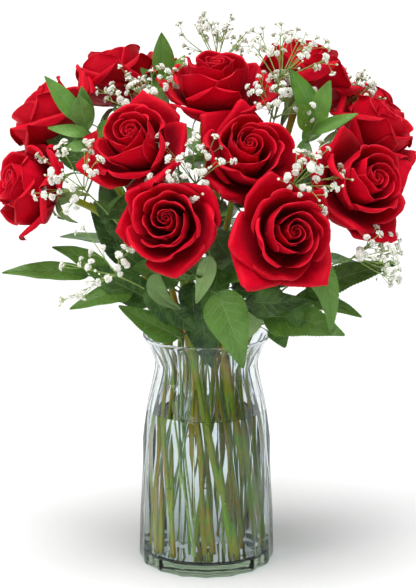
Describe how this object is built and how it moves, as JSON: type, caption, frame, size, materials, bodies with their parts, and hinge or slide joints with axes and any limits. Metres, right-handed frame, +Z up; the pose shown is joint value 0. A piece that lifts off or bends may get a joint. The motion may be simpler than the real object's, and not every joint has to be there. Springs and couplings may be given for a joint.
{
  "type": "roses in a vase",
  "caption": "Bouquet of red roses with baby's breath, ruscus and rose foliage, standing in water in a fluted clear glass vase with a flared rim.",
  "frame": {"origin": "centre of the vase's flat underside, on the surface that it stands on", "axes": "+Z up along the vase's axis, -Y towards the side of the bouquet that is seen from the front, +X to that viewer's right"},
  "size_m": [0.3692, 0.2742, 0.4573],
  "materials": {
    "vase_glass": "clear, slightly green pressed glass, polished",
    "water": null,
    "rose_petal": "velvety crimson petals, matt with a soft sheen",
    "rose_sepal": "light green, matt",
    "rose_stem": "green to brown-green, satin",
    "rose_leaf": "dark green, satin, veined",
    "ruscus_leaf": "mid green, waxy",
    "babys_breath": "white papery florets on pale green stalks, matt"
  },
  "bodies": {
    "root": {"vase": "vase_glass", "water": "water", "rose_01_bloom": "rose_petal", "rose_01_calyx": "rose_sepal", "rose_01_stem": "rose_stem", "rose_02_bloom": "rose_petal", "rose_02_calyx": "rose_sepal", "rose_02_stem": "rose_stem", "rose_03_bloom": "rose_petal", "rose_03_calyx": "rose_sepal", "rose_03_stem": "rose_stem", "rose_04_bloom": "rose_petal", "rose_04_calyx": "rose_sepal", "rose_04_stem": "rose_stem", "rose_05_bloom": "rose_petal", "rose_05_calyx": "rose_sepal", "rose_05_stem": "rose_stem", "rose_06_bloom": "rose_petal", "rose_06_calyx": "rose_sepal", "rose_06_stem": "rose_stem", "rose_07_bloom": "rose_petal", "rose_07_calyx": "rose_sepal", "rose_07_stem": "rose_stem", "rose_08_bloom": "rose_petal", "rose_08_calyx": "rose_sepal", "rose_08_stem": "rose_stem", "rose_09_bloom": "rose_petal", "rose_09_calyx": "rose_sepal", "rose_09_stem": "rose_stem", "rose_10_bloom": "rose_petal", "rose_10_calyx": "rose_sepal", "rose_10_stem": "rose_stem", "rose_11_bloom": "rose_petal", "rose_11_calyx": "rose_sepal", "rose_11_stem": "rose_stem", "rose_12_bloom": "rose_petal", "rose_12_calyx": "rose_sepal", "rose_12_stem": "rose_stem", "left_leaf": "rose_leaf", "rim_leaf": "rose_leaf", "front_leaf": "rose_leaf", "right_leaf": "rose_leaf", "right_front_leaf": "rose_leaf", "right_hanging_leaf": "rose_leaf", "back_left_leaf": "rose_leaf", "back_right_leaf": "rose_leaf", "ruscus_upper_left": "ruscus_leaf", "ruscus_upper_right": "ruscus_leaf", "ruscus_top": "ruscus_leaf", "ruscus_back": "ruscus_leaf", "babys_breath_front": "babys_breath", "babys_breath_front_right": "babys_breath", "babys_breath_lower_left": "babys_breath", "babys_breath_left": "babys_breath", "babys_breath_upper_left": "babys_breath", "babys_breath_top": "babys_breath", "babys_breath_top_right": "babys_breath", "babys_breath_upper_right": "babys_breath", "babys_breath_right": "babys_breath", "babys_breath_lower_right": "babys_breath"}
  },
  "joints": []
}
